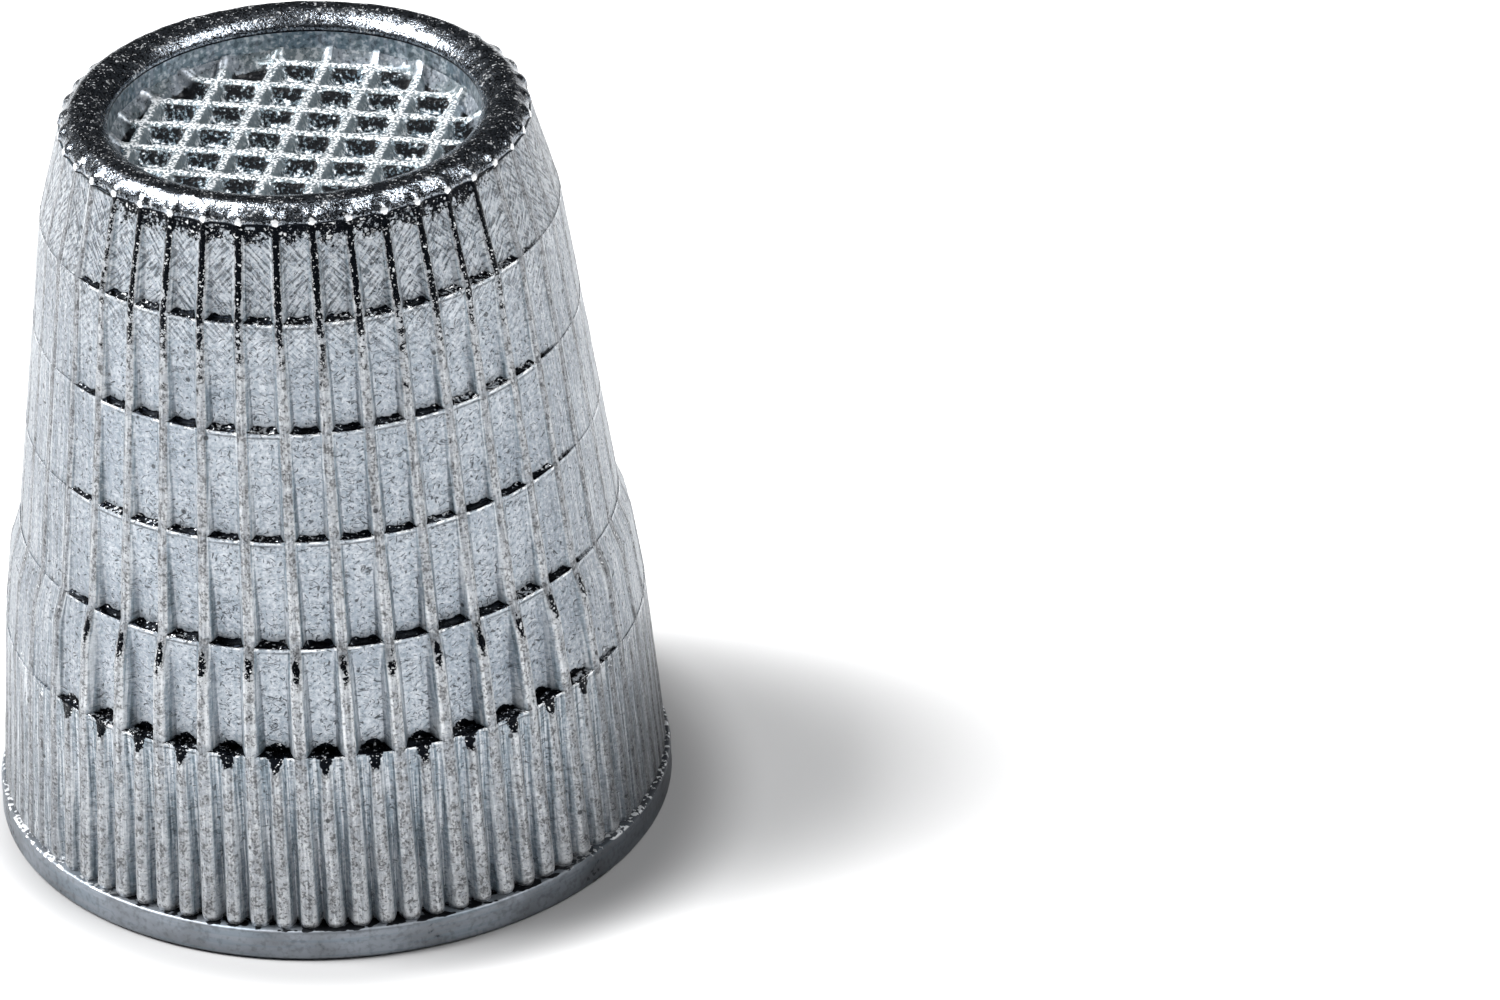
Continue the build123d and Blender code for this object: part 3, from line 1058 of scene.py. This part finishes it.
def waffle_metal(finish, casting):
    """Sparkling zinc of the waffle: bright beaded ridges and speckled pockets, with painted
    sparkle, and painted shade on one side of the ridges and at the recess wall's foot.
    """
    paint = Paint(bpy.data.materials.new("waffle_metal"))
    ramp, fade = paint.ramp, paint.fade
    names = ("ridge_gap", "smooth_face", "far_face", "fillet", "pit")
    gap, side, far, fillet, pit = map(paint.mark, names)
    fine = paint.noise(11000, 2, 0.6)
    coarse = paint.noise(6200, 2, 0.6)
    cloud = paint.noise(900, 3)
    bead = paint.noise(12000, 0)
    grit = fine * 0.5 + coarse * 0.5
    # painted shade on the ridges' far faces
    shade = grit - far * 0.10
    crest = fade(gap - (bead - 0.5) * 0.9, 0.04, 0.07) * (1 - fillet)
    crest = crest * fade(gap, 0.10, 0.14)
    hollow = paint.coats(
        finish.recess,
        (ramp(cloud, 0.4, 0.6), finish.zinc),
        (ramp(coarse, 0.52, 0.64) * 0.4, finish.bright),
        (ramp(grit, 0.46, 0.38) * 0.7, finish.patina),
    )
    tone = paint.coats(
        finish.recess,
        (ramp(cloud, 0.3, 0.7), finish.cool),
        (fade(shade, 0.43, 0.49), finish.patina),
        # painted sparkle in the pockets
        (ramp(shade, 0.515, 0.55), finish.bright),
        # painted shade: one side of each ridge in flat grey
        (side * 0.9, finish.recess),
        (fade(gap, 0.12, 0.16, 0.6) * (1 - fillet), finish.recess),
        (crest, finish.bright),
        (fillet, hollow),
        # painted shade in the pockets at the foot of the recess wall
        (ramp(pit + grit - 0.5, 0.4, 0.6), finish.patina),
    )
    lively = (1 - side * 0.9) * (1 - fillet * 0.9)
    normal = paint.bump((coarse + fine * 0.6) * lively, 0.035 * MM)
    rough = 0.32 + 0.15 * cloud
    return paint.apply(Base_Color=tone, Metallic=0.45, Roughness=rough, Normal=normal)


def inner_metal(finish, casting):
    """Smooth zinc of the recess and the finger cavity."""
    paint = Paint(bpy.data.materials.new("inner_metal"))
    cloud = paint.noise(600, 4)
    draw = paint.strokes(3, 0.3, 4)
    fine = paint.noise(6000, 2)
    tone = paint.coats(
        finish.recess,
        (paint.ramp(cloud, 0.3, 0.7), finish.cool),
        (paint.ramp(draw, 0.42, 0.7) * 0.8, finish.zinc),
        (paint.ramp(fine, 0.52, 0.64) * 0.35, finish.bright),
        (paint.ramp(fine, 0.45, 0.36) * 0.5, finish.patina),
    )
    normal = paint.bump(draw * 0.6 + fine * 0.8, 0.015 * MM)
    return paint.apply(Base_Color=tone, Metallic=0.8, Roughness=0.34 + 0.12 * cloud, Normal=normal)


def pale_floor(stage):
    """Matt, pale floor, with a shade close round the thimble's foot."""
    paint = Paint(bpy.data.materials.new("pale_floor"))
    soft = tuple(channel * 0.98 for channel in stage.floor_colour)
    near = (paint.place(0) - 0.3).length(paint.place(1) + 1.0)
    tone = paint.coats(
        stage.floor_colour,
        (paint.noise(40, 2), soft),
        (paint.fade(near, 9.6, 12.6, 0.75), stage.floor_shade),
    )
    return paint.apply(Base_Color=tone, Roughness=0.9, Specular_IOR_Level=0.1)


# ---- operators


def build(context, maker, *recipes):
    """Runs a maker with the scene's sizes and its materials, each of which is made once."""
    scene = context.scene
    casting = Casting(scene.thimble_sizes)
    materials = []
    for recipe in recipes:
        known = bpy.data.materials.get(recipe.__name__)
        materials.append(known or recipe(scene.thimble_finish, casting))
    maker(casting, materials)
    return {"FINISHED"}


class ThimbleBand(bpy.types.Operator):
    """Make the smooth band round the mouth"""

    bl_idname = "thimble.band"
    bl_label = "Band"

    def execute(self, context):
        return build(context, build_band, band_metal)


class ThimbleSkirt(bpy.types.Operator):
    """Make the ribbed skirt"""

    bl_idname = "thimble.skirt"
    bl_label = "Ribbed skirt"

    def execute(self, context):
        return build(context, build_skirt, wall_metal)


class ThimbleWall(bpy.types.Operator):
    """Make the wall of ribs and stepped panels"""

    bl_idname = "thimble.wall"
    bl_label = "Stepped wall"

    def execute(self, context):
        return build(context, build_wall, wall_metal, inner_metal)


class ThimbleRim(bpy.types.Operator):
    """Make the rolled rim"""

    bl_idname = "thimble.rim"
    bl_label = "Crown rim"

    def execute(self, context):
        return build(context, build_rim, rim_metal)


class ThimblePlate(bpy.types.Operator):
    """Make the waffle plate"""

    bl_idname = "thimble.plate"
    bl_label = "Waffle plate"

    def execute(self, context):
        return build(context, build_plate, waffle_metal, inner_metal)


def softbox(name, place, size, power, target):
    """A rectangular light aimed at a point."""
    lamp = bpy.data.lights.new(name, "AREA")
    lamp.shape = "RECTANGLE"
    lamp.size, lamp.size_y = size
    lamp.energy = power
    light = bpy.data.objects.new(name, lamp)
    light.location = place
    light.rotation_euler = (Vector(place) - target).to_track_quat("Z", "Y").to_euler()
    bpy.context.scene.collection.objects.link(light)


class ThimbleStaging(bpy.types.Operator):
    """Make the camera, the floor and the soft studio light"""

    bl_idname = "thimble.stage"
    bl_label = "Studio"

    def execute(self, context):
        stage = context.scene.thimble_stage
        self.place_camera(context, stage)
        self.lay_floor(context, stage)
        self.hang_lights(stage)
        self.surround(context, stage)
        context.scene.view_settings.view_transform = "Standard"
        return {"FINISHED"}

    def place_camera(self, context, stage):
        """Turns the camera so that the thimble stands left of the middle, as a pair's left one."""
        data = bpy.data.cameras.new("camera")
        data.lens = stage.lens
        data.clip_start = 10 * MM
        data.clip_end = 10
        camera = bpy.data.objects.new("camera", data)
        level, climb = Vector((1, 0, 0)), Vector((0, sin(stage.elevation), cos(stage.elevation)))
        back = Vector((0, -cos(stage.elevation), sin(stage.elevation)))
        across = level * cos(stage.roll) + climb * sin(stage.roll)
        upward = climb * cos(stage.roll) - level * sin(stage.roll)
        facing = Matrix((across, upward, back)).transposed()
        sight = Vector((-tan(stage.aim_aside), -tan(stage.aim_down), -1))
        aim = sight.rotation_difference(Vector((0, 0, -1))).to_matrix()
        camera.matrix_world = (facing @ aim).to_4x4()
        camera.location = Vector((0, 0, stage.aim_height)) + back * stage.distance
        context.scene.collection.objects.link(camera)
        context.scene.camera = camera

    def lay_floor(self, context, stage):
        """A pale floor at the thimble's foot."""
        bm = bmesh.new()
        bmesh.ops.create_grid(bm, x_segments=1, y_segments=1, size=stage.floor_size / 2)
        mesh = bpy.data.meshes.new("floor")
        bm.to_mesh(mesh)
        bm.free()
        mesh.materials.append(pale_floor(stage))
        floor = bpy.data.objects.new("floor", mesh)
        context.scene.collection.objects.link(floor)
        floor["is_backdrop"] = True

    def hang_lights(self, stage):
        """A large softbox at each side."""
        middle = Vector((0, 0, 0.01))
        softbox("left_softbox", (-0.46, 0.04, 0.62), (0.28, 0.46), stage.left_power, middle)
        softbox("right_softbox", (0.40, -0.23, 0.60), (0.26, 0.42), stage.right_power, middle)

    def surround(self, context, stage):
        """Pale surroundings below the horizon and dark ones above it."""
        sky = Paint(bpy.data.worlds.new("studio"), "Background")
        ways = sky.node("ShaderNodeTexCoord", output="Generated")
        rise = sky.ramp(sky.part(ways, 2), *HORIZON)
        context.scene.world = sky.apply(Color=sky.blend(rise, stage.below, stage.above))


class ThimblePanel(bpy.types.Panel):
    """Sidebar panel that lists the makers and their sizes"""

    bl_idname = "VIEW3D_PT_thimble"
    bl_label = "Cast thimble"
    bl_space_type = "VIEW_3D"
    bl_region_type = "UI"
    bl_category = "Thimble"

    def draw(self, context):
        for operator in OPERATORS:
            self.layout.operator(operator.bl_idname)
        for name in GROUPS:
            box = self.layout.box()
            group = getattr(context.scene, name)
            for prop in group.bl_rna.properties:
                if not prop.is_readonly and prop.identifier != "name":
                    box.prop(group, prop.identifier)


GROUPS = {
    "thimble_sizes": ThimbleSizes,
    "thimble_finish": ThimbleFinish,
    "thimble_stage": ThimbleStage,
}
OPERATORS = (
    ThimbleBand, ThimbleSkirt, ThimbleWall, ThimbleRim, ThimblePlate, ThimbleStaging
)
CLASSES = (*GROUPS.values(), *OPERATORS, ThimblePanel)


def register():
    for cls in CLASSES:
        bpy.utils.register_class(cls)
    for name, group in GROUPS.items():
        setattr(bpy.types.Scene, name, PointerProperty(type=group))


def unregister():
    for name in GROUPS:
        delattr(bpy.types.Scene, name)
    for cls in reversed(CLASSES):
        bpy.utils.unregister_class(cls)


def main():
    register()
    bpy.ops.thimble.stage()
    bpy.ops.thimble.band()
    bpy.ops.thimble.skirt()
    bpy.ops.thimble.wall()
    bpy.ops.thimble.rim()
    bpy.ops.thimble.plate()
    boxes = {"cad": CAD_BOX, "visual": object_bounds()}
    {name: [list(corner) for corner in box] for name, box in boxes.items()}


if __name__ == "__main__":
    main()
